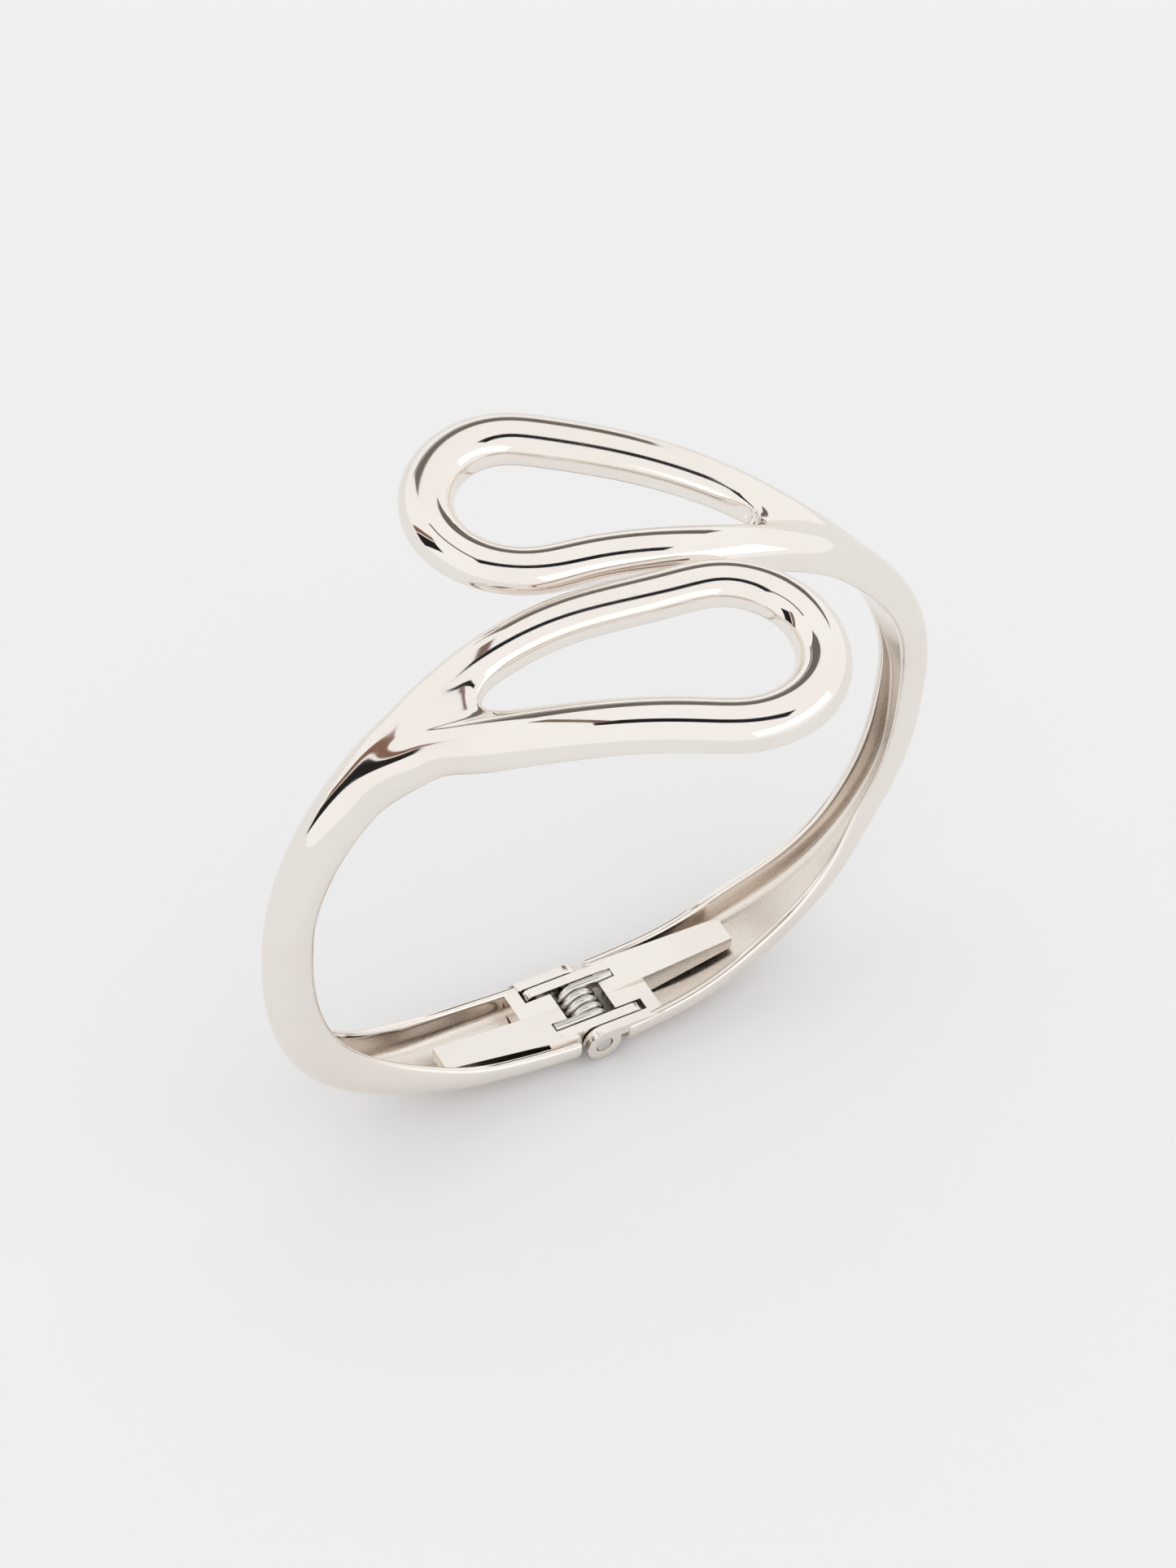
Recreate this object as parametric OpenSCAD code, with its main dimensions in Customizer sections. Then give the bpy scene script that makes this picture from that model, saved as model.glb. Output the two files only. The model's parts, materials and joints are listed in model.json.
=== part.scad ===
// Spring-hinged bypass bangle: two like cast arms, each ending in an open teardrop loop,
// joined by a pin hinge with a torsion spring. Millimetres, Z up, X across the wrist, Y along it.
// The hinge is at the bottom, the two loops cross over the top. The second half of the
// bangle is the first one turned half a turn about Z.

/* [Oval] */
// Width of the oval, outside to outside
oval_w = 60.2; // [50:0.2:73]
// Height of the oval, outside to outside
oval_h = 53.8; // [45:0.2:65]
// Fullness of the lower half, where 2 is a plain ellipse
lower_fullness = 2.5; // [2:0.05:2.7]
// Fullness of the upper half
upper_fullness = 1.9; // [1.7:0.05:2.2]
// Rise of a loop's tip above the oval
tip_lift = 2; // [0:0.1:3]
// Length of that rise along the loop, measured back from the tip
lift_len = 13; // [8:0.5:24]

/* [Arm] */
// Half width of the arm where it is narrowest
neck_half_w = 1.7; // [1.5:0.1:2.4]
// Half width of the arm just below its loop
shoulder_half_w = 3.1; // [2.6:0.1:3.8]
// Depth of the arm, crown to back, at its middle
arm_depth = 3.8; // [3:0.1:4.6]
// Sideways drift of the arm's middle towards its loop
arm_drift = 2.4; // [0:0.1:3]
// Lean of the arm's crown towards its loop, in degrees
arm_lean = 14; // [0:1:20]
// Wall of the hollow back
wall = 0.8; // [0.6:0.05:1]
// Metal left under the crown of the hollow back
crown_t = 1.1; // [0.8:0.05:1.5]

/* [Loop] */
// Distance from the oval's side to the place where the strands part
loop_root_inset = 6.1; // [5:0.1:9]
// Distance of the strands' parting place from the middle plane between the arms
loop_root_y = 0.9; // [0.4:0.1:2]
// How far the end arc's centre lies past the oval's middle plane
loop_end_x = 3.4; // [1:0.1:5]
// Distance from the middle plane between the arms to the side of the end arc
loop_gap = 0.95; // [0.8:0.05:2]
// Radius of the end arc, to the strand's centre line
loop_end_r = 7.1; // [5.5:0.1:7.2]
// Half width of a strand
strand_half_w = 2; // [1.5:0.05:2.4]
// Extra half width, and extra depth, of the outer strand
outer_more = 0.25; // [0:0.05:0.5]
// Depth of a strand, crown to back
strand_depth = 2.5; // [2:0.1:3.2]
// Bow of the inner strand
inner_bow = 1.2; // [0:0.1:1.5]
// Bow of the outer strand
outer_bow = 0.5; // [0:0.1:1.5]

/* [Hinge] */
// Diameter of the hinge pin
pin_d = 1.4; // [1:0.05:1.8]
// Running clearance round the pin, on the radius
pin_clear = 0.05; // [0.02:0.01:0.1]
// Thickness of a knuckle along the pin
knuckle_t = 0.85; // [0.6:0.05:1.2]
// Gap between neighbouring knuckles
knuckle_gap = 0.12; // [0.08:0.01:0.2]
// How far the arm's side stands proud of the outer knuckle
side_step = 0.18; // [0.1:0.01:0.3]
// How far the inner knuckle's tongue reaches past the pin
tongue_reach = 4; // [3:0.1:5]
// Length of the leaf from its hinge face
leaf_len = 11.5; // [9:0.5:13]
// Width of the leaf's long bar
leaf_w = 3.4; // [2.6:0.1:3.8]

/* [Spring] */
// Wire diameter
wire_d = 0.7; // [0.5:0.05:0.8]
// Number of whole turns
spring_turns = 4; // [3:1:6]
// Gap between turns
turn_gap = 0.07; // [0.04:0.01:0.12]
// Gap between the pin and the coil, and between the coil and what is round it
coil_gap = 0.3; // [0.2:0.05:0.5]
// Length of a spring leg
leg_len = 3.4; // [2.5:0.1:4]

/* [Hidden] */

// Oval
half_w = oval_w / 2;
half_h = oval_h / 2;
lift_end_x = loop_end_x + loop_end_r;
lift_start_x = lift_end_x - lift_len;

// Place of the loop's root and of its end arc
loop_root_x = half_w - loop_root_inset;
loop_end_y = loop_end_r + strand_half_w + loop_gap;

// Small steps of the hinge: how far the coil stands proud of the knuckles, the air under the
// coil, how far the arm's end stands back from the leaf's, and how far the arm's rim, the
// leaf's top and the leaf's underside stand off the knuckle's top and the hollow's floor
coil_proud = 0.2;
pin_lift = 0.25;
end_setback = 0.15;
rim_drop = 0.3;
top_drop = 0.15;
floor_gap = 0.05;
bar_lift = 0.4;
side_above_rim = 0.1;

// Spring, coil and pin
coil_r = pin_d / 2 + coil_gap + wire_d / 2;
coil_out_r = coil_r + wire_d / 2;
coil_pitch = wire_d + turn_gap;
coil_half_len = spring_turns * coil_pitch / 2 + wire_d / 2;

// Knuckles, counted outward along the pin
inner_y0 = coil_half_len + knuckle_gap;
inner_y1 = inner_y0 + knuckle_t;
outer_y0 = inner_y1 + knuckle_gap;
outer_y1 = outer_y0 + knuckle_t;
hinge_half_w = outer_y1 + side_step;
knuckle_r = coil_out_r - coil_proud;
pin_z = coil_out_r + pin_lift;
bore_r = pin_d / 2 + pin_clear;
hinge_x = coil_out_r + coil_gap;
arm_end_x = hinge_x + end_setback;
rim_z = pin_z + knuckle_r - rim_drop;

// Leaf: everything above the floor of the hollow back
leaf_top = pin_z + knuckle_r - top_drop;
leaf_floor = crown_t + floor_gap;
bar_z = leaf_floor + bar_lift;
leaf_block = 2.6;
leaf_taper = 1;
leaf_rise = 1;
hollow_half_w = hinge_half_w - wall;
notch_clear = 0.25;
bridge_x = tongue_reach + notch_clear;
bridge_t = 1.2;
tongue_t = 0.8 * knuckle_r;
leg_clear = 0.08;
leg_y = spring_turns * coil_pitch / 2;
leg_z = pin_z + coil_r;
// The arm's sides are upright above this height, so what lies in them stays above it
side_z = 0.75 * rim_z + side_above_rim;

// Arm stations: angle round the oval, from the hinge up to the root of the loop
hinge_ang = -acos(pow(arm_end_x / half_w, lower_fullness / 2));
hollow_end_ang = 12;
hollow_steps = 26;
solid_steps = 9;
strand_steps = 13;
arc_steps = 20;
crown_steps = 8;
section_n = crown_steps + 3;

// Power that keeps the sign
function spow(v, e) = sign(v) * pow(abs(v), e);
function unit(v) = v / norm(v);
function lift(x) = tip_lift * pow(max(0, (x - lift_start_x) / (lift_end_x - lift_start_x)), 2);

// Crown line of the left half: round the oval by angle, and over the top by x
function oval_point(a, y) =
    let (e = 2 / (a < 0 ? lower_fullness : upper_fullness))
    [-half_w * spow(cos(a), e), y,
        half_h * (1 + spow(sin(a), e)) + (a > 0 ? lift(-half_w * spow(cos(a), e)) : 0)];
function top_z(x) = half_h * (1 + pow(1 - pow(abs(x) / half_w, upper_fullness), 1 / upper_fullness))
    + lift(x);

// Stations of the arm, as angles round the oval from its side
foot_ang = -75;
heel_ang = -62;
calf_ang = -45;
neck_ang = -27;
side_ang = 5;
// Half width at a share of the way from the neck out to the hinge, or out to the shoulder
function to_hinge(k) = neck_half_w + k * (hinge_half_w - neck_half_w);
function to_shoulder(k) = neck_half_w + k * (shoulder_half_w - neck_half_w);

// Sizes along the arm: half width, depth, sideways place of its middle, and lean of its crown
function arm_half_w(a) = lookup(a, [[hinge_ang, to_hinge(1)], [foot_ang, to_hinge(0.89)],
    [heel_ang, to_hinge(0.69)], [calf_ang, to_hinge(0.3)], [neck_ang, to_hinge(0)],
    [side_ang, to_shoulder(0)], [rise_ang, to_shoulder(0.21)], [root_ang, to_shoulder(0.5)],
    [shoulder_ang, to_shoulder(1)]]);
function arm_t(a) = lookup(a, [[hinge_ang, rim_z], [foot_ang, 1.12 * rim_z],
    [heel_ang, 1.05 * arm_depth], [neck_ang, arm_depth], [side_ang, 0.9 * arm_depth],
    [root_ang, 1.05 * shoulder_t], [shoulder_ang, shoulder_t]]);
function arm_y(a) = -lookup(a, [[hinge_ang, 0], [foot_ang, 0.06 * arm_drift],
    [heel_ang, 0.34 * arm_drift], [calf_ang, 0.7 * arm_drift], [neck_ang, arm_drift],
    [side_ang, arm_drift], [rise_ang, 0.86 * arm_drift], [root_ang, 2 * loop_root_y],
    [shoulder_ang, -shoulder_mid[1]]]);
function arm_tilt(a) = lookup(a, [[foot_ang, 0], [neck_ang, arm_lean], [side_ang, arm_lean],
    [shoulder_ang, 0]]);

// Bullet-shaped section: back corner, round crown, back corner; first value outward, second
// across. Power 2 is a round crown, and a higher one is squarer.
function section(w, t, power) =
    let (crown = min(w, 0.75 * t), e = 2 / power)
    concat([[-t, -w]],
        [for (i = [0:crown_steps]) let (b = 180 * i / crown_steps)
            [crown * (spow(sin(b), e) - 1), -w * spow(cos(b), e)]],
        [[-t, w]]);
// The hollow's section, its mouth level with the back
function hollow_section(w, t, deep) = [for (q = section(w, deep, 4)) [q[0] + deep - t, q[1]]];

// One ring of points: origin c, outward n, across b, and a lean about the crown
function ring(c, n, b, s, tilt) =
    let (n2 = n * cos(tilt) + b * sin(tilt), b2 = b * cos(tilt) - n * sin(tilt))
    [for (q = s) c + q[0] * n2 + q[1] * b2];

// Frame of the arm at an angle: [point, outward, across]
function arm_frame(a) =
    let (c = oval_point(a, arm_y(a)), c2 = oval_point(a + 0.2, arm_y(a + 0.2)),
        t = unit(c2 - c), n = unit([-t[2], 0, t[0]]))
    [c, n, unit(cross(t, n))];

// Frame of a strand at a place in plan, from the direction in plan
function top_frame(p, d) =
    let (e = 0.05, c = [p[0], p[1], top_z(p[0])],
        c2 = [p[0] + e * d[0], p[1] + e * d[1], top_z(p[0] + e * d[0])],
        slope = (top_z(p[0] + e) - top_z(p[0] - e)) / (2 * e),
        n = unit([-slope, 0, 1]), t = unit(c2 - c))
    [c, n, unit(cross(t, n))];

// Teardrop in plan: tangents from the root to the end arc, each with a slight bow
loop_root = [-loop_root_x, -loop_root_y];
loop_end = [loop_end_x, -loop_end_y];
loop_axis = loop_end - loop_root;
loop_ang = atan2(loop_axis[1], loop_axis[0]);
loop_open = asin(loop_end_r / norm(loop_axis));
function arc_point(a) = loop_end + loop_end_r * [cos(a), sin(a)];
outer_tangent = arc_point(loop_ang - 90 - loop_open);
inner_tangent = arc_point(loop_ang + 90 + loop_open);
loop_side = [sin(loop_ang), -cos(loop_ang)];
function strand_point(s, tangent, bow) =
    loop_root + (tangent - loop_root) * s + loop_side * bow * pow(sin(180 * s), 2);
// The strands part where their inner sides have come clear of each other
fork_gap = 0.3;
fork_clear = strand_half_w + (outer_more + fork_gap) / 2;
fork_s = fork_clear / (norm(outer_tangent - loop_root) * sin(loop_open));
shoulder_t = strand_depth + outer_more / 2;
shoulder_mid = loop_root + loop_axis * fork_s * 0.6;
root_ang = acos(pow(loop_root_x / half_w, upper_fullness / 2));
rise_ang = 0.58 * root_ang;
shoulder_ang = acos(pow(-shoulder_mid[0] / half_w, upper_fullness / 2));
function plan_points() = concat(
    [for (i = [0:strand_steps - 1]) strand_point(fork_s + (1 - fork_s) * i / strand_steps,
        outer_tangent, outer_bow)],
    [for (i = [0:arc_steps]) arc_point(loop_ang + (i / arc_steps * 2 - 1) * (90 + loop_open))],
    [for (i = [strand_steps - 1:-1:0]) strand_point(fork_s + (1 - fork_s) * i / strand_steps,
        inner_tangent, -inner_bow)]);

// Rings of the loop, from the fork along the outer strand, round the end and back. The extra
// size of the outer strand fades away over the end arc.
function ease(t) = let (k = min(1, max(0, t))) k * k * (3 - 2 * k);
function loop_rings() =
    let (p = plan_points(), n = len(p))
    [for (i = [0:n - 1])
        let (d = unit(p[min(i + 1, n - 1)] - p[max(i - 1, 0)]), f = top_frame(p[i], d),
            more = outer_more * (1 - ease((i - strand_steps) / arc_steps)))
        ring(f[0], f[1], f[2], section(strand_half_w + more, strand_depth + more, 2), 0)];

// A solid arm ring, and a hollow one: the outer section, then the hollow's, back to front
function solid_ring(a) =
    let (f = arm_frame(a))
    ring(f[0], f[1], f[2], section(arm_half_w(a), arm_t(a), 2), arm_tilt(a));
function hollow_ring(a) =
    let (f = arm_frame(a), t = arm_t(a), fade = min(1, 0.15 + (hollow_end_ang - a) / 35),
        q = hollow_section(arm_half_w(a) - wall, t, (t - crown_t) * fade))
    concat(solid_ring(a), ring(f[0], f[1], f[2], [for (i = [section_n - 1:-1:0]) q[i]], arm_tilt(a)));

// Two triangles for each side between two rows of point numbers of equal length
function rows(a, b) = [for (i = [0:len(a) - 2]) each [[a[i], b[i], a[i + 1]], [a[i + 1], b[i], b[i + 1]]]];
function closed(r) = concat(r, [r[0]]);
function run(first, n) = [for (i = [0:n - 1]) first + i];

// The casting is one closed skin: hollow arm, solid shoulder, fork, and the loop back to the fork
module casting() {
    n = section_n;
    mid = crown_steps / 2 + 1;
    hollow = [for (i = [0:hollow_steps])
        hollow_ring(hinge_ang + (hollow_end_ang - hinge_ang) * i / hollow_steps)];
    solid = [for (i = [1:solid_steps])
        solid_ring(hollow_end_ang + (shoulder_ang - hollow_end_ang) * i / solid_steps)];
    loop = loop_rings();
    solid_0 = len(hollow) * 2 * n;
    loop_0 = solid_0 + len(solid) * n;
    last_hollow = run(solid_0 - 2 * n, 2 * n);
    arm = run(loop_0 - n, n);
    near = run(loop_0, n);
    far = run(loop_0 + (len(loop) - 1) * n, n);
    first_solid = run(solid_0, n);
    polyhedron([for (r = concat(hollow, solid, loop)) each r], concat(
        // End face at the hinge, the hollow arm, and the wall that ends the hollow
        [for (i = [0:n - 2]) [i, i + 1, 2 * n - 2 - i, 2 * n - 1 - i]],
        [for (k = [0:len(hollow) - 2])
            each rows(closed(run(k * 2 * n, 2 * n)), closed(run((k + 1) * 2 * n, 2 * n)))],
        [[for (i = [n - 1:-1:0]) last_hollow[n + i]]],
        // Hollow arm to solid arm, with the back closed from four points to two
        rows([for (i = [0:n - 1]) last_hollow[i]], first_solid),
        [[last_hollow[n - 1], first_solid[n - 1], last_hollow[n]],
            [last_hollow[n], first_solid[n - 1], first_solid[0]],
            [last_hollow[n], first_solid[0], last_hollow[2 * n - 1]],
            [last_hollow[2 * n - 1], first_solid[0], last_hollow[0]]],
        [for (k = [0:len(solid) - 2])
            each rows(closed(run(solid_0 + k * n, n)), closed(run(solid_0 + (k + 1) * n, n)))],
        // Fork: outer sides, crown, crotch and back
        rows([for (i = [mid:n - 1]) arm[i]], [for (i = [mid:n - 1]) near[i]]),
        rows([for (i = [0:mid]) arm[i]], [for (i = [0:mid]) far[n - 1 - i]]),
        [[arm[mid], far[mid], near[mid]]],
        rows([for (i = [mid:-1:0]) near[i]], [for (i = [mid:-1:0]) far[i]]),
        [[arm[n - 1], near[n - 1], near[0]], [arm[n - 1], near[0], far[0]],
            [arm[n - 1], far[0], arm[0]], [far[0], far[n - 1], arm[0]]],
        [for (k = [0:len(loop) - 2])
            each rows(closed(run(loop_0 + k * n, n)), closed(run(loop_0 + (k + 1) * n, n)))]));
}

// Knuckle round the pin, with a bar that runs back to the leaf and a tongue past the pin
module knuckle(y0, y1, back_x, low_z, reach) {
    bar_top = pin_z + knuckle_r;
    tip_r = tongue_t / 2;
    translate([0, y0, pin_z]) rotate([-90, 0, 0]) cylinder(r = knuckle_r, h = y1 - y0, $fn = 64);
    translate([back_x, y0, low_z]) cube([-back_x, y1 - y0, bar_top - low_z]);
    if (reach > 0) {
        translate([0, y0, bar_top - tongue_t]) cube([reach - tip_r, y1 - y0, tongue_t]);
        translate([reach - tip_r, y0, bar_top - tip_r]) rotate([-90, 0, 0])
            cylinder(r = tip_r, h = y1 - y0, $fn = 48);
    }
}

// Long bar: its outline from above, cut to its outline from the side
module leaf_bar() {
    end_x = -hinge_x - leaf_len;
    intersection() {
        linear_extrude(2 * leaf_top) polygon([[-hinge_x, -hollow_half_w],
            [-hinge_x, leaf_w - hollow_half_w], [end_x, leaf_w - hollow_half_w],
            [end_x, leaf_taper - hollow_half_w]]);
        translate([0, hinge_half_w, 0]) rotate([90, 0, 0]) linear_extrude(2 * hinge_half_w)
            polygon([[-hinge_x, leaf_floor], [-hinge_x, leaf_top], [end_x, leaf_top + leaf_rise],
                [end_x, leaf_floor + 2 * leaf_rise], [-hinge_x - leaf_block, leaf_floor]]);
    }
}

// Leaf: cross block and bar set into the hollow back, with an inner and an outer knuckle
module leaf() {
    difference() {
        union() {
            leaf_bar();
            translate([-hinge_x - leaf_block, -hollow_half_w, leaf_floor]) cube([leaf_block,
                hollow_half_w + inner_y0 - notch_clear, leaf_top - leaf_floor]);
            knuckle(-inner_y1, -inner_y0, -hinge_x - leaf_block / 2, bar_z, tongue_reach);
            knuckle(outer_y0, outer_y1, -bridge_x, side_z, 0);
            // Bridge behind the neighbour's tongue, which carries the outer knuckle
            translate([-bridge_x - bridge_t, 0, bar_z]) cube([bridge_t, outer_y0, leaf_top - bar_z]);
            translate([-bridge_x - bridge_t, 0, side_z])
                cube([bridge_t, outer_y1, leaf_top - side_z]);
        }
        translate([0, 0, pin_z]) rotate([90, 0, 0])
            cylinder(r = bore_r, h = 2 * hinge_half_w + 2, center = true, $fn = 64);
        // Groove for the spring's leg, open at the top
        translate([-leg_len - leg_clear, -leg_y - wire_d / 2 - leg_clear, leg_z - wire_d / 2 - leg_clear])
            cube([leg_len, wire_d + 2 * leg_clear, 2 * wire_d]);
    }
}

module turned() {
    rotate([0, 0, 180]) children();
}

module left_arm() {
    color([0.86, 0.85, 0.83]) casting();
}

module right_arm() {
    color([0.86, 0.85, 0.83]) turned() casting();
}

module left_hinge_leaf() {
    color([0.78, 0.76, 0.73]) leaf();
}

module right_hinge_leaf() {
    color([0.78, 0.76, 0.73]) turned() leaf();
}

module hinge_pin() {
    chamfer = 0.1;
    color([0.7, 0.69, 0.67]) translate([0, 0, pin_z]) rotate([90, 0, 0])
        rotate_extrude($fn = 64) polygon([[0, -outer_y1], [pin_d / 2 - chamfer, -outer_y1],
            [pin_d / 2, -outer_y1 + chamfer], [pin_d / 2, outer_y1 - chamfer],
            [pin_d / 2 - chamfer, outer_y1], [0, outer_y1]]);
}

// Coil with a leg at each end; each leg lies in the groove of a leaf
coil_sides = 8;
coil_turn_rings = 20;
function spring_line() =
    let (rings = coil_turn_rings * spring_turns)
    concat([[-leg_len, -leg_y, leg_z]],
        [for (i = [0:rings]) let (a = 90 - 360 * i / coil_turn_rings)
            [coil_r * cos(a), coil_pitch * i / coil_turn_rings - leg_y, pin_z + coil_r * sin(a)]],
        [[leg_len, leg_y, leg_z]]);

module torsion_spring() {
    line = spring_line();
    n = len(line);
    pts = [for (i = [0:n - 1])
        let (t = unit(line[min(i + 1, n - 1)] - line[max(i - 1, 0)]), n1 = [0, 1, 0],
            u = unit(n1 - (n1 * t) * t), v = cross(t, u))
        for (k = [0:coil_sides - 1]) line[i] + wire_d / 2 * (u * cos(360 * k / coil_sides)
            + v * sin(360 * k / coil_sides))];
    color([0.74, 0.72, 0.68]) polyhedron(pts, concat(
        [[for (k = [0:coil_sides - 1]) k]],
        [for (i = [0:n - 2]) for (k = [0:coil_sides - 1]) let (j = (k + 1) % coil_sides)
            [i * coil_sides + k, (i + 1) * coil_sides + k, (i + 1) * coil_sides + j, i * coil_sides + j]],
        [[for (k = [coil_sides - 1:-1:0]) (n - 1) * coil_sides + k]]));
}

left_arm();
right_arm();
left_hinge_leaf();
right_hinge_leaf();
hinge_pin();
torsion_spring();
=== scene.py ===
"""Looks of a spring-hinged bypass bangle: two like cast arms, each ending in an open teardrop loop."""

import json
import logging
from dataclasses import dataclass, field
from enum import Enum
from math import acos, asin, atan2, cos, degrees, pi, radians, sin, tan
from typing import Callable, Sequence

import bmesh
import bpy
from mathutils import Matrix, Vector
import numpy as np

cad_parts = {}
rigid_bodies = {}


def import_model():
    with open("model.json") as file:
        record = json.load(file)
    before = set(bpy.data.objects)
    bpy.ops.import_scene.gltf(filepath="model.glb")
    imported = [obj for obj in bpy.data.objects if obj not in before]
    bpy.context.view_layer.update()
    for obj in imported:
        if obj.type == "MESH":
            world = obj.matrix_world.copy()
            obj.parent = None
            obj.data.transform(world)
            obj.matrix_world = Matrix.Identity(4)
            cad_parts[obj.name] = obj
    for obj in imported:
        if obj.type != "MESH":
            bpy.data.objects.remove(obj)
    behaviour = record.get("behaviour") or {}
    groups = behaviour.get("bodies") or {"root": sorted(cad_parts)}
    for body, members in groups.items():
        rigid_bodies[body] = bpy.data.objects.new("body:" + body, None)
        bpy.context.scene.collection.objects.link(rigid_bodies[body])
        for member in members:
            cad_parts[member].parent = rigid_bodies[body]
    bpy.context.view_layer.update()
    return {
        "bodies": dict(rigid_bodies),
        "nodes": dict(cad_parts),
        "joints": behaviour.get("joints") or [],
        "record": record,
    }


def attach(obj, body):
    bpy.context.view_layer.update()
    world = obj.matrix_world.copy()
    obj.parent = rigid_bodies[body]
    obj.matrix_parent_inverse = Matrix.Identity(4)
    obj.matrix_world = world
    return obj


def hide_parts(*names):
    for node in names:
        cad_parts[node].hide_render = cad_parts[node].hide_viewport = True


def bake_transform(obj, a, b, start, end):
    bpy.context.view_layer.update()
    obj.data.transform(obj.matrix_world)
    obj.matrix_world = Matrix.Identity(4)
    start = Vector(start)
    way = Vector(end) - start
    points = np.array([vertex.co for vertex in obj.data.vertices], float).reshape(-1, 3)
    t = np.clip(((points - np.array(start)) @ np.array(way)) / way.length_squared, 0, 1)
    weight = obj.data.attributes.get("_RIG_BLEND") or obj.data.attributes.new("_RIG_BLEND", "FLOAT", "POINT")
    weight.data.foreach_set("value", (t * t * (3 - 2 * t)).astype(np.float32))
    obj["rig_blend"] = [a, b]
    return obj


LOG = logging.getLogger("bangle")
MM = 0.001
HALF_TURN = Matrix.Rotation(pi, 4, "Z")


class Side(Enum):
    """The two halves of the bangle. The right one is the left one turned half a turn about Z."""

    LEFT = "left"
    RIGHT = "right"

    @property
    def placement(self) -> Matrix:
        """The turn that brings a piece built for the left half to this half."""
        return Matrix.Identity(4) if self is Side.LEFT else HALF_TURN

    @property
    def body(self) -> str:
        """Name of the moving body this half rides on."""
        return f"{self.value}_half"


# Small maths helpers, all lengths in millimetres


def signed_power(value: float, exponent: float) -> float:
    """A power that keeps the sign of its base.

    Args:
        value: The base.
        exponent: The exponent.

    Returns:
        The signed power.
    """
    return (1.0 if value >= 0 else -1.0) * abs(value) ** exponent


def lookup(at: float, stations: Sequence[tuple[float, float]]) -> float:
    """Reads a value between stations on a smooth curve that never overshoots them.

    Args:
        at: Where to read.
        stations: Pairs of place and value, in rising order of place.

    Returns:
        The value there, or the end value outside the stations.
    """
    if at <= stations[0][0]:
        return stations[0][1]
    if at >= stations[-1][0]:
        return stations[-1][1]
    slopes = [(vb - va) / (b - a) for (a, va), (b, vb) in zip(stations, stations[1:])]
    tangents = [slopes[0]]
    for before, after in zip(slopes, slopes[1:]):
        tangents.append(0.0 if before * after <= 0 else 2 * before * after / (before + after))
    tangents.append(slopes[-1])
    i = max(k for k, (place, _) in enumerate(stations) if place <= at)
    (a, va), (b, vb) = stations[i], stations[i + 1]
    t, span = (at - a) / (b - a), b - a
    start = (1 + 2 * t) * (1 - t) ** 2 * va + t * (1 - t) ** 2 * span * tangents[i]
    return start + t * t * (3 - 2 * t) * vb + t * t * (t - 1) * span * tangents[i + 1]


def mix(a: float, b: float, share: float) -> float:
    """The value a share of the way from one value to another."""
    return a + (b - a) * share


def ease(share: float, start: float, length: float) -> float:
    """Rises gently from 0 to 1.

    Args:
        share: Where to read.
        start: Where the rise starts.
        length: How long it is.

    Returns:
        How far it has risen there.
    """
    t = min(1.0, max(0.0, (share - start) / length))
    return t * t * (3 - 2 * t)


# Mesh helpers


def ring_edges(verts: Sequence[bmesh.types.BMVert]) -> list[bmesh.types.BMEdge]:
    """The edges between neighbours in a closed ring of vertices.

    Args:
        verts: The ring, in order.

    Returns:
        Its edges, in order.
    """
    found = []
    for a, b in zip(verts, list(verts[1:]) + [verts[0]]):
        found += [e for e in a.link_edges if e.other_vert(a) is b]
    return found


def first_ring(bm: bmesh.types.BMesh, points: Sequence[Vector]) -> list[bmesh.types.BMVert]:
    """Starts a tube with one ring of edges.

    Args:
        bm: The mesh to add to.
        points: Where the ring's vertices lie.

    Returns:
        The ring's vertices, in order.
    """
    verts = bmesh.ops.create_circle(bm, cap_ends=False, segments=len(points), radius=1.0)["verts"]
    for vert, point in zip(verts, points):
        vert.co = point
    return list(verts)


def next_ring(
    bm: bmesh.types.BMesh, ring: Sequence[bmesh.types.BMVert], points: Sequence[Vector]
) -> list[bmesh.types.BMVert]:
    """Extrudes a tube's open end and moves the new ring into place.

    Args:
        bm: The mesh.
        ring: The open end's vertices, in order.
        points: Where the new ring's vertices lie.

    Returns:
        The new ring's vertices, in the same order.
    """
    made = bmesh.ops.extrude_edge_only(bm, edges=ring_edges(ring))["geom"]
    fresh = {g for g in made if isinstance(g, bmesh.types.BMVert)}
    order = [next(e.other_vert(v) for e in v.link_edges if e.other_vert(v) in fresh) for v in ring]
    for vert, point in zip(order, points):
        vert.co = point
    return order


def loft(bm: bmesh.types.BMesh, rings: Sequence[Sequence[Vector]]) -> list[list[bmesh.types.BMVert]]:
    """A tube through rings of points, open at both ends.

    Args:
        bm: The mesh to add to.
        rings: Rings of equal length.

    Returns:
        Each ring's vertices.
    """
    made = [first_ring(bm, rings[0])]
    for points in rings[1:]:
        made.append(next_ring(bm, made[-1], points))
    return made


def stitch(bm: bmesh.types.BMesh, a: Sequence[bmesh.types.BMVert], b: Sequence[bmesh.types.BMVert]) -> None:
    """Fills between two open chains of vertices, four at a time.

    Args:
        bm: The mesh.
        a: One chain.
        b: The other, of equal length, running the same way.
    """
    for corners in zip(a, b, b[1:], a[1:]):
        bmesh.ops.contextual_create(bm, geom=list(dict.fromkeys(corners)))


def crease(bm: bmesh.types.BMesh, edges: Sequence[bmesh.types.BMEdge], value: float) -> None:
    """Sharpens edges under subdivision.

    Args:
        bm: The mesh.
        edges: The edges.
        value: From 0, round, to 1, sharp.
    """
    layer = bm.edges.layers.float["crease_edge"]
    for edge in edges:
        edge[layer] = value


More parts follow.
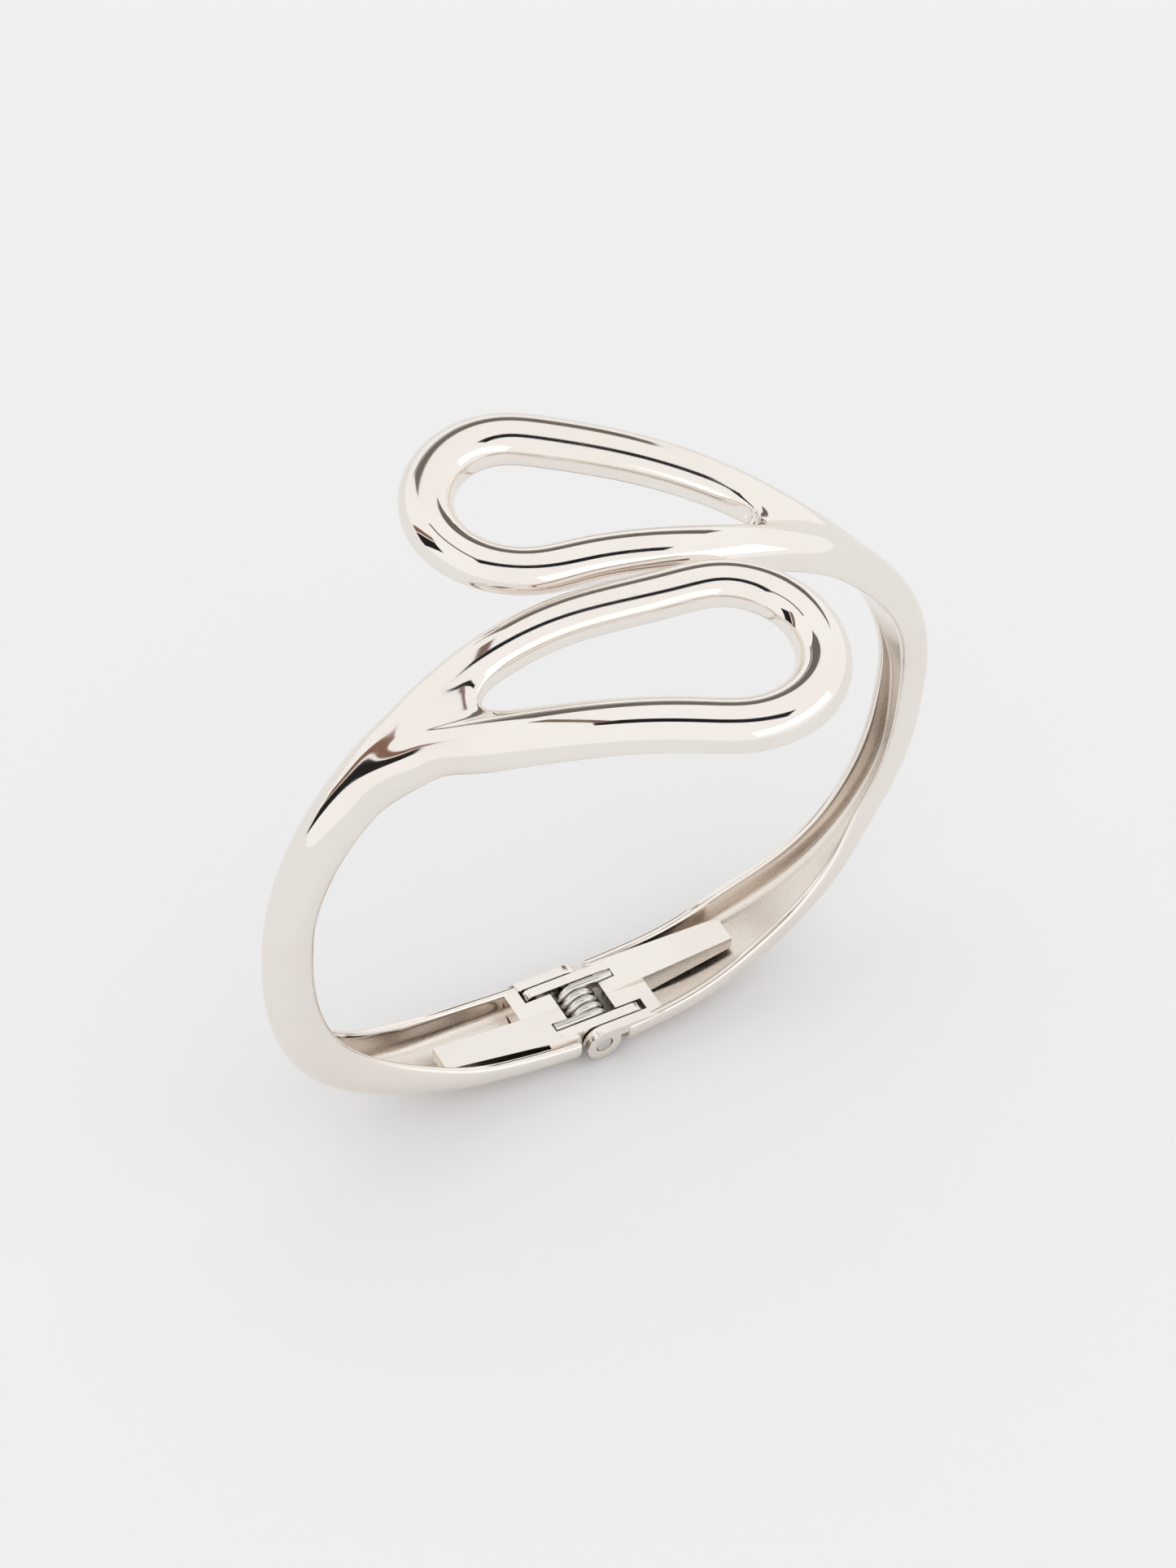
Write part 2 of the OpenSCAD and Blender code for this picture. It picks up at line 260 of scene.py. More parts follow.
def to_object(bm: bmesh.types.BMesh, name: str, placement: Matrix, smooth: bool = True) -> bpy.types.Object:
    """Closes a mesh built in millimetres and makes it an object in metres.

    Args:
        bm: The mesh, which is freed.
        name: Name of the object.
        placement: Turn that brings the piece to its half.
        smooth: Whether its faces are shaded smooth.

    Returns:
        The object, at the origin.
    """
    bmesh.ops.recalc_face_normals(bm, faces=bm.faces)
    bm.transform(placement @ Matrix.Scale(MM, 4))
    for face in bm.faces:
        face.smooth = smooth
    mesh = bpy.data.meshes.new(name)
    bm.to_mesh(mesh)
    bm.free()
    made = bpy.data.objects.new(name, mesh)
    bpy.context.scene.collection.objects.link(made)
    return made


# Shader node groups


class Nodes:
    """Adds nodes to a node tree and links them."""

    def __init__(self, tree: bpy.types.NodeTree) -> None:
        """Keeps the tree."""
        self.tree = tree

    def add(self, kind: str, **settings: object) -> bpy.types.Node:
        """Adds a node.

        Args:
            kind: The node's type, without its ShaderNode prefix.
            **settings: Properties of the node.

        Returns:
            The node.
        """
        node = self.tree.nodes.new(kind if kind.startswith("NodeGroup") else "ShaderNode" + kind)
        for key, value in settings.items():
            setattr(node, key, value)
        return node

    def feed(self, node: bpy.types.Node, name: str | int, source: object) -> None:
        """Feeds an input from a socket, or sets its value.

        Args:
            node: The node.
            name: Name or number of its input.
            source: An output socket or a plain value.
        """
        if isinstance(source, bpy.types.NodeSocket):
            self.tree.links.new(source, node.inputs[name])
        else:
            node.inputs[name].default_value = source

    def math(self, operation: str, a: object, b: object = 0.0, clamp: bool = False) -> bpy.types.NodeSocket:
        """A sum on one or two values.

        Args:
            operation: Blender's name for it.
            a: First value or socket.
            b: Second value or socket.
            clamp: Whether the result stays between 0 and 1.

        Returns:
            The result's socket.
        """
        node = self.add("Math", operation=operation, use_clamp=clamp)
        self.feed(node, 0, a)
        self.feed(node, 1, b)
        return node.outputs[0]

    def spread(
        self, value: object, low: float, high: float, to_low: float, to_high: float
    ) -> bpy.types.NodeSocket:
        """Maps a value from one range to another, smoothly.

        Args:
            value: The socket to map.
            low: Start of its range.
            high: End of its range.
            to_low: What the start becomes.
            to_high: What the end becomes.

        Returns:
            The result's socket.
        """
        node = self.add("MapRange", interpolation_type="SMOOTHSTEP")
        for name, source in zip(range(5), (value, low, high, to_low, to_high)):
            self.feed(node, name, source)
        return node.outputs[0]

    def noise(self, vector: object, scale: object, detail: float = 2.0) -> bpy.types.NodeSocket:
        """Noise on a vector.

        Args:
            vector: Socket of the place.
            scale: Its scale, as a socket or a plain value.
            detail: How many finer layers it has.

        Returns:
            Its value's socket.
        """
        node = self.add("TexNoise")
        for name, value in (("Vector", vector), ("Scale", scale), ("Detail", detail)):
            self.feed(node, name, value)
        return node.outputs[0]


def make_group(name: str, inputs: dict[str, float], outputs: Sequence[str]) -> tuple[Nodes, object, object]:
    """Starts a shader node group that reads a place and some numbers, and puts out numbers.

    Args:
        name: Name of the group.
        inputs: Number inputs with their defaults.
        outputs: Its outputs.

    Returns:
        Its node helper, its input node and its output node.
    """
    tree = bpy.data.node_groups.new(name, "ShaderNodeTree")
    add_socket = tree.interface.new_socket
    add_socket(name="Place", in_out="INPUT", socket_type="NodeSocketVector")
    for key, value in inputs.items():
        add_socket(name=key, in_out="INPUT", socket_type="NodeSocketFloat").default_value = value
    for key in outputs:
        add_socket(name=key, in_out="OUTPUT", socket_type="NodeSocketFloat")
    nodes = Nodes(tree)
    return nodes, nodes.add("NodeGroupInput"), nodes.add("NodeGroupOutput")


# Part of the noise's range that fades in as smudges
SMUDGE_RANGE = (0.38, 0.68)
# Turn and scale of each layer of hairlines, and their stretch and width
HAIR_LAYERS = ((0.4, 210.0), (1.9, 260.0))
HAIR_STRETCH = 14.0
HAIR_WIDTH = 0.012
# Scale of the patches that have hairlines, and the part of the noise's range that fades in
PATCH_SCALE = 160.0
PATCH_RANGE = (0.45, 0.65)


def handling_marks_group() -> bpy.types.NodeTree:
    """Faint smudges and hairline scratches of polished plate.

    Returns:
        A group that puts out a smudge mask and a scratch mask.
    """
    sizes = {"Smudge Size": 90.0, "Scratch Density": 0.5}
    nodes, source, sink = make_group("handling_marks", sizes, ("Smudge", "Scratch"))
    place = source.outputs["Place"]
    smudge = nodes.noise(place, source.outputs["Smudge Size"], 4.0)
    nodes.feed(sink, "Smudge", nodes.spread(smudge, *SMUDGE_RANGE, 0.0, 1.0))
    total: object = 0.0
    for turn, scale in HAIR_LAYERS:
        mapping = nodes.add("Mapping")
        nodes.feed(mapping, "Vector", place)
        mapping.inputs["Rotation"].default_value = (turn, 0.6 * turn, turn)
        mapping.inputs["Scale"].default_value = (1.0, HAIR_STRETCH, HAIR_STRETCH)
        hair = nodes.noise(mapping.outputs[0], scale)
        centred = nodes.math("ABSOLUTE", nodes.math("SUBTRACT", hair, 0.5))
        line = nodes.spread(centred, 0.0, HAIR_WIDTH, 1.0, 0.0)
        total = nodes.math("MAXIMUM", total, line)
    patch = nodes.noise(place, PATCH_SCALE, 1.0)
    sparse = nodes.spread(patch, *PATCH_RANGE, 0.0, 1.0)
    masked = nodes.math("MULTIPLY", total, sparse)
    nodes.feed(sink, "Scratch", nodes.math("MULTIPLY", masked, source.outputs["Scratch Density"], clamp=True))
    return nodes.tree


def casting_skin_group() -> bpy.types.NodeTree:
    """Slow ripple of a hand-polished casting, and the fine grain left where a wheel can't reach.

    Returns:
        A group that puts out the height of each.
    """
    sizes = {"Ripple Size": 120.0, "Grain Size": 2600.0}
    nodes, source, sink = make_group("casting_skin", sizes, ("Ripple", "Grain"))
    for key, detail in (("Ripple", 1.0), ("Grain", 3.0)):
        nodes.feed(sink, key, nodes.noise(source.outputs["Place"], source.outputs[f"{key} Size"], detail))
    return nodes.tree


class Effects:
    """The shader node groups that the finishes share."""

    def __init__(self) -> None:
        """Builds each group once."""
        self.marks = handling_marks_group()
        self.skin = casting_skin_group()


# Colour of all the metal at grazing angles
GRAZING = (0.99, 0.975, 0.96)
# How far a smudge dulls, beside a recess, which is unpolished and darkened as painted shade, and the
# roughness that a hairline adds
SMUDGE_SHARE = 0.35
HAIR_ROUGHNESS = 0.12


@dataclass(frozen=True)
class PlateFinish:
    """Bright silver-coloured plate, or bare steel, with the marks of handling and painted shade in its
    recesses.

    Attributes:
        name: Name of the material.
        slot: The part's material slot it stands for; not used.
        tint: Colour of the clean plate.
        smudge_and_shade: Colour that smudges drift to, as real dirt, and that recesses drift to, as painted
            shade.
        gloss: Roughness of the clean plate.
        haze: Roughness added where it is smudged or unpolished.
        ripple: Height of the polishing ripple, in metres.
        grain: Height of the unpolished grain, in metres.
        scratches: Strength of the hairline scratches.
    """

    name: str
    slot: str
    tint: tuple[float, float, float]
    smudge_and_shade: tuple[float, float, float]
    gloss: float
    haze: float
    ripple: float
    grain: float
    scratches: float = 1.0

    def build(self, effects: Effects) -> bpy.types.Material:
        """Makes the material.

        Args:
            effects: The shared node groups.

        Returns:
            The material.
        """
        material = bpy.data.materials.new(self.name)
        material.use_nodes = True
        material.diffuse_color = (*self.tint, 1.0)
        nodes = Nodes(material.node_tree)
        shader = material.node_tree.nodes["Principled BSDF"]
        place = nodes.add("TexCoord").outputs["Object"]
        recess = nodes.add("Attribute", attribute_name="recess").outputs["Fac"]
        marks = nodes.add("Group", node_tree=effects.marks)
        nodes.feed(marks, "Place", place)
        nodes.feed(marks, "Scratch Density", self.scratches)
        skin = nodes.add("Group", node_tree=effects.skin)
        nodes.feed(skin, "Place", place)
        smudge = nodes.math("MULTIPLY", marks.outputs["Smudge"], SMUDGE_SHARE)
        # Smudges darken the colour as real dirt; the recess mask darkens the hollow's colour the same way as
        # painted shade, and roughens it
        smudge_and_shade_mask = nodes.math("MAXIMUM", smudge, recess)
        colour = nodes.add("Mix", data_type="RGBA")
        colour.inputs[6].default_value = (*self.tint, 1.0)
        colour.inputs[7].default_value = (*self.smudge_and_shade, 1.0)
        nodes.feed(colour, 0, smudge_and_shade_mask)
        nodes.feed(shader, "Base Color", colour.outputs[2])
        shader.inputs["Specular Tint"].default_value = (*GRAZING, 1.0)
        shader.inputs["Metallic"].default_value = 1.0
        hazed = nodes.math("MULTIPLY_ADD", smudge_and_shade_mask, self.haze)
        hazed.node.inputs[2].default_value = self.gloss
        hairs = nodes.math("MULTIPLY", marks.outputs["Scratch"], HAIR_ROUGHNESS)
        nodes.feed(shader, "Roughness", nodes.math("ADD", hazed, hairs, clamp=True))
        ripple = nodes.add("Bump")
        nodes.feed(ripple, "Height", skin.outputs["Ripple"])
        ripple.inputs["Distance"].default_value = self.ripple
        grain = nodes.add("Bump")
        nodes.feed(grain, "Height", nodes.math("MULTIPLY", skin.outputs["Grain"], recess))
        grain.inputs["Distance"].default_value = self.grain
        nodes.feed(grain, "Normal", ripple.outputs[0])
        nodes.feed(shader, "Normal", grain.outputs[0])
        return material


POLISHED = PlateFinish(
    name="silver_plate",
    slot="polished_plate",
    tint=(0.90, 0.85, 0.80),
    # Colour of smudges, and the painted shade of the hollow back
    smudge_and_shade=(0.83, 0.765, 0.70),
    gloss=0.03,
    haze=0.24,
    ripple=1.2e-5,
    grain=6e-6,
    scratches=0.5,
)
HINGE = PlateFinish(
    name="hinge_plate",
    slot="hinge_metal",
    tint=(0.89, 0.84, 0.79),
    smudge_and_shade=(0.81, 0.745, 0.68),
    gloss=0.15,
    haze=0.16,
    ripple=8e-6,
    grain=5e-6,
    scratches=0.8,
)
PIN = PlateFinish(
    name="turned_steel",
    slot="pin_steel",
    tint=(0.72, 0.70, 0.67),
    smudge_and_shade=(0.55, 0.53, 0.50),
    gloss=0.12,
    haze=0.18,
    ripple=5e-6,
    grain=4e-6,
)
WIRE = PlateFinish(
    name="drawn_wire",
    slot="spring_wire",
    tint=(0.76, 0.74, 0.70),
    smudge_and_shade=(0.58, 0.55, 0.50),
    gloss=0.14,
    haze=0.15,
    ripple=5e-6,
    grain=3e-6,
)


def dress(piece: bpy.types.Object, finish: PlateFinish, effects: Effects) -> None:
    """Gives a piece its finish.

    Args:
        piece: The object.
        finish: The finish.
        effects: The shared node groups.
    """
    material = bpy.data.materials.get(finish.name) or finish.build(effects)
    piece.data.materials.clear()
    piece.data.materials.append(material)


# Steps used to measure a direction, in millimetres and in degrees
PROBE = 0.05
PROBE_ANGLE = 0.2
# Height of a section's round crown, as a share of its depth
CROWN_SHARE = 0.75
# Place of the shoulder, as a share of the way from the loop's root to its fork
SHOULDER_SHARE = 0.6
# Least depth of a hollow, and its least width as a share of the section's
LEAST_HOLLOW = 0.02
LEAST_INNER = 0.55
# Shares from the root to the fork where the forked rings stand
FORK_SHARES = (0.2, 0.33, 0.45, 0.57, 0.68)
# Start and length of three changes: the arm's middle joins the strands', the valley between
# the strands deepens, and, as a share of the loop, the outer strand's extra size goes
MIDDLE_FADE = (0.4, 0.25)
VALLEY_FADE = (0.35, 0.6)
OUTER_FADE = (0.3, 0.4)
# Angles from the hinge of the arm's first stations, and of the last one past the loop's root
CLOSE_ANGLES = (0.0, 0.6, 2.4, 6.0)
PAST_ROOT = 0.8
# Rings of the arm, counted back from the fork, that have no hollow
SOLID_RINGS = 9
# Sharpness of the hollow's rims and of the end face
RIM_CREASE = 0.16
END_CREASE = 0.22


@dataclass
class Oval:
    """The oval that the arms follow, in millimetres.

    Attributes:
        half_w: Half of its width.
        half_h: Half of its height.
        fullness: Power of its lower half.
        upper_fullness: Power of its upper half.
        tip_lift: Rise of a loop's tip above it.
        lift_start: Place across where the rise starts.
        lift_end: Place across where the rise is full.
    """

    half_w: float = 30.1
    half_h: float = 26.9
    fullness: float = 2.5
    upper_fullness: float = 1.9
    tip_lift: float = 2.0
    lift_start: float = -2.6
    lift_end: float = 10.4

    def lift(self, x: float) -> float:
        """Rise of the crown line above the oval at a place across."""
        return self.tip_lift * max(0.0, (x - self.lift_start) / (self.lift_end - self.lift_start)) ** 2

    def point(self, angle: float, y: float) -> Vector:
        """Crown point of the left half.

        Args:
            angle: Angle up the oval from its side, in degrees.
            y: Place along the wrist.

        Returns:
            The point.
        """
        a = radians(angle)
        power = 2.0 / (self.fullness if angle < 0 else self.upper_fullness)
        across = -self.half_w * signed_power(cos(a), power)
        rise = self.lift(across) if angle > 0 else 0.0
        return Vector((across, y, self.half_h * (1 + signed_power(sin(a), power)) + rise))

    def top(self, x: float) -> float:
        """Height of the crown line over the top at a place across."""
        power = self.upper_fullness
        return self.half_h * (1 + (1 - (abs(x) / self.half_w) ** power) ** (1 / power)) + self.lift(x)

    def slope(self, x: float) -> float:
        """Slope of the crown line over the top at a place across."""
        return (self.top(x + PROBE) - self.top(x - PROBE)) / (2 * PROBE)

    def angle_at(self, x: float) -> float:
        """Angle of the upper half at a distance across, in degrees."""
        return degrees(acos((abs(x) / self.half_w) ** (self.upper_fullness / 2)))


@dataclass
class Teardrop:
    """The loop's outline in plan: tangents from its root to its end arc, each with a slight bow.

    Attributes:
        root: Where the strands part.
        end: Centre of the end arc.
        end_r: Radius of the end arc, to the strand's middle.
        inner_bow: Bow of the inner strand.
        outer_bow: Bow of the outer strand.
        half_w: Half width of the inner strand.
        depth: Depth of the inner strand.
        outer_more: How much more the outer strand has of each.
        fork_gap: Gap between the strands where they part.
    """

    root: Vector = field(default_factory=lambda: Vector((-24.0, -0.9)))
    end: Vector = field(default_factory=lambda: Vector((3.4, -10.05)))
    end_r: float = 7.1
    inner_bow: float = 1.2
    outer_bow: float = 0.5
    half_w: float = 2.0
    depth: float = 2.5
    outer_more: float = 0.25
    fork_gap: float = 0.3

    def __post_init__(self) -> None:
        """Works out the angles and where the strands part."""
        axis = self.end - self.root
        self.angle = atan2(axis.y, axis.x)
        self.opening = asin(self.end_r / axis.length)
        self.side = Vector((sin(self.angle), -cos(self.angle)))
        self.outer_tangent = self.arc(self.angle - pi / 2 - self.opening)
        self.inner_tangent = self.arc(self.angle + pi / 2 + self.opening)
        clear = self.half_w + (self.outer_more + self.fork_gap) / 2
        self.fork = clear / ((self.outer_tangent - self.root).length * sin(self.opening))
        self.shoulder = self.root + axis * self.fork * SHOULDER_SHARE

    def arc(self, angle: float) -> Vector:
        """Point of the end arc at an angle."""
        return self.end + self.end_r * Vector((cos(angle), sin(angle)))

    def strand(self, s: float, tangent: Vector, bow: float) -> Vector:
        """Point of a strand.

        Args:
            s: Share of the way from the root to the arc.
            tangent: Where it meets the arc.
            bow: Its bow.

        Returns:
            The point in plan.
        """
        return self.root + (tangent - self.root) * s + self.side * bow * sin(pi * s) ** 2

    def outline(self, steps: int, arc_steps: int) -> list[Vector]:
        """The whole outline, from the fork along the outer strand and back along the inner one.

        Args:
            steps: Steps along a strand.
            arc_steps: Steps round the end.

        Returns:
            Points in plan.
        """
        shares = [self.fork + (1 - self.fork) * i / steps for i in range(steps)]
        outer = [self.strand(s, self.outer_tangent, self.outer_bow) for s in shares]
        sweep = pi / 2 + self.opening
        arc = [self.arc(self.angle + (2 * i / arc_steps - 1) * sweep) for i in range(arc_steps + 1)]
        inner = [self.strand(s, self.inner_tangent, -self.inner_bow) for s in reversed(shares)]
        return outer + arc + inner


@dataclass
class ArmCasting:
    """One cast arm: hollow-backed from the hinge, solid at the shoulder, forked into a teardrop loop.

    Attributes:
        oval: The oval it follows.
        loop: Its teardrop loop.
        neck_half_w: Half width where it is narrowest.
        shoulder_half_w: Half width just below the loop.
        depth: Depth at its middle.
        drift: Sideways drift of its middle.
        lean: Lean of its crown, in degrees.
        wall: Wall of the hollow back.
        crown_t: Metal under the crown.
        foot_in: How much narrower the arm is just above the hinge.
        heel_half_w: Half width where the arm starts to narrow.
        calf_half_w: Half width halfway to the neck.
        rise_more: Extra half width where the arm starts to widen again.
        root_more: Extra half width at the loop's root.
        foot_rise: Extra depth just above the hinge.
        heel_rise: Extra depth where the arm starts to narrow.
        side_thin: How much thinner the arm is at its side.
        root_thick: Extra depth at the loop's root.
        root_y_more: Extra sideways place at the loop's root.
        hinge_half_w: Half width at the hinge.
        rim_z: Depth at the hinge.
        end_x: Distance of its end from the hinge's axis.
        hollow_end: Angle where the hollow fades out.
        hollow_fade: Angle over which it gets shallower.
        hollow_step: Share of its depth that is left where it ends.
        arm_steps: Steps of the crown of the arm's section.
        strand_steps: Steps of the crown of a strand's section.
        crotch_r: Reach of the soft corner where the strands part.
        crotch_passes: Times that corner is evened out.
        lead_len: Length over which the arm's heading at the loop's root is measured.
        station_steps: Steps along the arm, past the close ones at the hinge.
        side_steps: Steps along each side of the loop.
        end_steps: Steps round the loop's end.
        levels: Subdivision levels.
    """

    oval: Oval = field(default_factory=Oval)
    loop: Teardrop = field(default_factory=Teardrop)
    neck_half_w: float = 1.7
    shoulder_half_w: float = 3.1
    depth: float = 3.8
    drift: float = 2.4
    lean: float = 14.0
    wall: float = 0.8
    crown_t: float = 1.1
    foot_in: float = 0.25
    heel_half_w: float = 3.3
    calf_half_w: float = 2.4
    rise_more: float = 0.3
    root_more: float = 0.7
    foot_rise: float = 0.4
    heel_rise: float = 0.2
    side_thin: float = 0.4
    root_thick: float = 0.3
    root_y_more: float = 0.9
    hinge_half_w: float = 4.01
    rim_z: float = 3.15
    end_x: float = 2.15
    hollow_end: float = 12.0
    hollow_fade: float = 35.0
    hollow_step: float = 0.15
    arm_steps: int = 24
    strand_steps: int = 16
    crotch_r: float = 1.3
    crotch_passes: int = 2
    lead_len: float = 4.76
    station_steps: int = 27
    side_steps: int = 9
    end_steps: int = 14
    levels: int = 2

    def __post_init__(self) -> None:
        """Works out the angles of the stations."""
        oval, loop = self.oval, self.loop
        self.hinge_angle = -degrees(acos((self.end_x / oval.half_w) ** (oval.fullness / 2)))
        self.root_angle = oval.angle_at(loop.root.x)
        self.shoulder_angle = oval.angle_at(loop.shoulder.x)
        self.root_half_w = self.neck_half_w + self.root_more
        self.root_depth = loop.depth + self.root_thick

    def half_width(self, angle: float) -> float:
        """Half width of the arm at an angle."""
        neck = self.neck_half_w
        return lookup(
            angle,
            [
                (self.hinge_angle, self.hinge_half_w),
                (-75.0, self.hinge_half_w - self.foot_in),
                (-62.0, self.heel_half_w),
                (-45.0, self.calf_half_w),
                (-27.0, neck),
                (5.0, neck),
                (20.0, neck + self.rise_more),
                (self.root_angle, self.root_half_w),
                (self.shoulder_angle, self.shoulder_half_w),
            ],
        )

    def thickness(self, angle: float) -> float:
        """Depth of the arm, crown to back, at an angle."""
        return lookup(
            angle,
            [
                (self.hinge_angle, self.rim_z),
                (-72.0, self.rim_z + self.foot_rise),
                (-60.0, self.depth + self.heel_rise),
                (-27.0, self.depth),
                (5.0, self.depth - self.side_thin),
                (self.root_angle, self.root_depth),
                (self.shoulder_angle, self.loop.depth),
            ],
        )

    def sideways(self, angle: float) -> float:
        """Place of the arm's middle along the wrist at an angle."""
        return -lookup(
            angle,
            [
                (self.hinge_angle, 0.0),
                (-78.0, 0.05),
                (-64.0, 0.3 * self.drift),
                (-45.0, 0.7 * self.drift),
                (-27.0, self.drift),
                (5.0, self.drift),
                (22.0, 0.85 * self.drift),
                (self.root_angle, self.root_y_more - self.loop.root.y),
                (self.shoulder_angle, -self.loop.shoulder.y),
            ],
        )

    def tilt(self, angle: float) -> float:
        """Lean of the crown at an angle, in radians."""
        stations = [(-72.0, 0.0), (-35.0, self.lean), (15.0, self.lean), (self.shoulder_angle, 0.0)]
        return radians(lookup(angle, stations))

    @staticmethod
    def half_section(w: float, t: float, power: float, steps: int) -> list[tuple[float, float]]:
        """Back corner, round crown, back corner.

        Args:
            w: Half width.
            t: Depth.
            power: 2 for a round crown, higher for a squarer one.
            steps: Steps of the crown.

        Returns:
            Pairs of outward and sideways distance from the crown.
        """
        crown = min(w, CROWN_SHARE * t)
        curve = []
        for i in range(steps + 1):
            b = pi * i / steps
            down, across = signed_power(sin(b), 2 / power) - 1, signed_power(cos(b), 2 / power)
            curve.append((crown * down, -w * across))
        return [(-t, -w)] + curve + [(-t, w)]

    def back(self, w: float, t: float, hollow: float) -> list[tuple[float, float]]:
        """The hollow back of a section, or a flat back where it has no depth.

        Args:
            w: Half width.
            t: Depth.
            hollow: Depth of the hollow.

        Returns:
            Pairs of outward and sideways distance from the crown.
        """
        deep = max(hollow, LEAST_HOLLOW)
        inner = self.half_section(max(w - self.wall, LEAST_INNER * w), deep, 4.0, self.arm_steps)
        return [(q + deep - t, s) for q, s in reversed(inner)]

    def forked_section(self, w: float, t: float, spread: float, fill: float) -> list[tuple[float, float]]:
        """A section with two crests, where the strands are still one piece.

        Args:
            w: Half width of each strand.
            t: Depth.
            spread: Distance of each crest from the middle.
            fill: Depth of the valley between them, as a share of its full depth.

        Returns:
            Pairs of outward and sideways distance from the crown.
        """
        crown = min(w, CROWN_SHARE * t)
        start = acos(min(spread / w, cos(pi / 4)))
        steps = self.arm_steps // 2
        angles = [start + (pi - start) * i / steps for i in range(steps + 1)]
        sink = [fill if b < pi / 2 else 1.0 for b in angles]
        half = [(crown * (sin(b) - 1) * k, spread - w * cos(b)) for b, k in zip(angles, sink)]
        half.append((-t, spread + w))
        mirrored = [(q, -s) for q, s in half[:0:-1]]
        return mirrored + half + self.back(spread + w, t, 0.0)

    @staticmethod
    def place(
        origin: Vector, along: Vector, out: Vector, section: Sequence[tuple[float, float]], tilt: float
    ) -> list[Vector]:
        """Puts a section in space.

        Args:
            origin: Its crown point.
            along: Direction of the arm.
            out: Outward direction.
            section: Pairs of outward and sideways distance.
            tilt: Lean of the section, in radians.

        Returns:
            Its points.
        """
        across = along.cross(out).normalized()
        out_2 = out * cos(tilt) + across * sin(tilt)
        across_2 = across * cos(tilt) - out * sin(tilt)
        return [origin + out_2 * q + across_2 * s for q, s in section]

    def place_on_top(
        self, here: Vector, heading: Vector, section: Sequence[tuple[float, float]], tilt: float
    ) -> list[Vector]:
        """Puts a section on the crown line over the top.

        Args:
            here: Its place in plan.
            heading: Direction of the metal in plan.
            section: Pairs of outward and sideways distance.
            tilt: Lean of the section, in radians.

        Returns:
            Its points.
        """
        slope = self.oval.slope(here.x)
        out = Vector((-slope, 0.0, 1.0)).normalized()
        along = Vector((heading.x, heading.y, slope * heading.x)).normalized()
        return self.place(Vector((here.x, here.y, self.oval.top(here.x))), along, out, section, tilt)

    def arm_ring(self, angle: float) -> list[Vector]:
        """Ring of the arm at an angle."""
        here = self.oval.point(angle, self.sideways(angle))
        ahead = self.oval.point(angle + PROBE_ANGLE, self.sideways(angle + PROBE_ANGLE))
        along = (ahead - here).normalized()
        out = Vector((-along.z, 0.0, along.x)).normalized()
        t = self.thickness(angle)
        fade = min(1.0, max(0.0, (self.hollow_end - angle) / self.hollow_fade + self.hollow_step))
        w = self.half_width(angle)
        section = self.half_section(w, t, 2.0, self.arm_steps) + self.back(w, t, (t - self.crown_t) * fade)
        return self.place(here, along, out, section, self.tilt(angle))

    def fork_ring(self, share: float) -> list[Vector]:
        """Ring between the shoulder and the fork, where the crown parts into two crests.

        Args:
            share: Share of the way from the loop's root to the fork.

        Returns:
            The ring's points.
        """
        loop = self.loop
        s = loop.fork * share
        outer = loop.strand(s, loop.outer_tangent, loop.outer_bow)
        inner = loop.strand(s, loop.inner_tangent, -loop.inner_bow)
        middle = (outer + inner) / 2
        settled = ease(share, 0.0, SHOULDER_SHARE)
        middle.y = mix(-self.sideways_at(middle.x), middle.y, ease(share, *MIDDLE_FADE))
        w = mix(self.root_half_w, loop.half_w, settled)
        t = mix(self.root_depth, loop.depth, settled)
        start = atan2(self.sideways_at(loop.root.x) - self.sideways_at(loop.shoulder.x), self.lead_len)
        angle = mix(start, loop.angle, settled)
        section = self.forked_section(w, t, (outer - inner).length / 2, ease(share, *VALLEY_FADE))
        tilt = mix(self.tilt(self.root_angle), 0.0, settled)
        return self.place_on_top(middle, Vector((cos(angle), sin(angle))), section, tilt)

    def sideways_at(self, x: float) -> float:
        """Distance of the arm's middle along the wrist at a place across."""
        return -self.sideways(self.oval.angle_at(x))

    def loop_ring(self, before: Vector, here: Vector, after: Vector, share: float) -> list[Vector]:
        """Ring of a strand.

        Args:
            before: The outline's point before it.
            here: Its own point.
            after: The point after it.
            share: Share of the way round the loop, from the outer strand's fork.

        Returns:
            The ring's points.
        """
        more = self.loop.outer_more * (1 - ease(share, *OUTER_FADE))
        w, t = self.loop.half_w + more, self.loop.depth + more
        section = self.half_section(w, t, 2.0, self.strand_steps) + self.back(w, t, 0.0)
        return self.place_on_top(here, (after - before).normalized(), section, 0.0)

    def arm_angles(self) -> list[float]:
        """Angles of the arm's stations, closer together at the hinge."""
        *start, first = [self.hinge_angle + step for step in CLOSE_ANGLES]
        last = self.root_angle + PAST_ROOT
        steps = self.station_steps
        return start + [first + (last - first) * i / steps for i in range(steps + 1)]

    def build(self, side: Side) -> bpy.types.Object:
        """Makes the casting.

        Args:
            side: Which half it is for.

        Returns:
            The object.
        """
        bm = bmesh.new()
        bm.edges.layers.float.new("crease_edge")
        bm.verts.layers.float.new("recess")
        rings = [self.arm_ring(a) for a in self.arm_angles()]
        rings += [self.fork_ring(share) for share in FORK_SHARES]
        arm = loft(bm, rings)
        plan = self.loop.outline(self.side_steps, self.end_steps)
        ends = [plan[0]] + plan + [plan[-1]]
        last = len(plan) - 1
        strands = loft(bm, [self.loop_ring(*ends[i : i + 3], i / last) for i in range(last + 1)])
        self.join_fork(bm, arm[-1], strands[0], strands[-1])
        # End face at the hinge
        first, n = arm[0], self.arm_steps + 3
        stitch(bm, first[:n], first[: n - 1 : -1])
        self.mark(bm, arm, strands)
        piece = to_object(bm, f"{side.value}_arm_casting", side.placement)
        skin = piece.modifiers.new("smooth_skin", "SUBSURF")
        skin.levels = skin.render_levels = self.levels
        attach(piece, side.body)
        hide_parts(f"{side.value}_arm")
        return piece

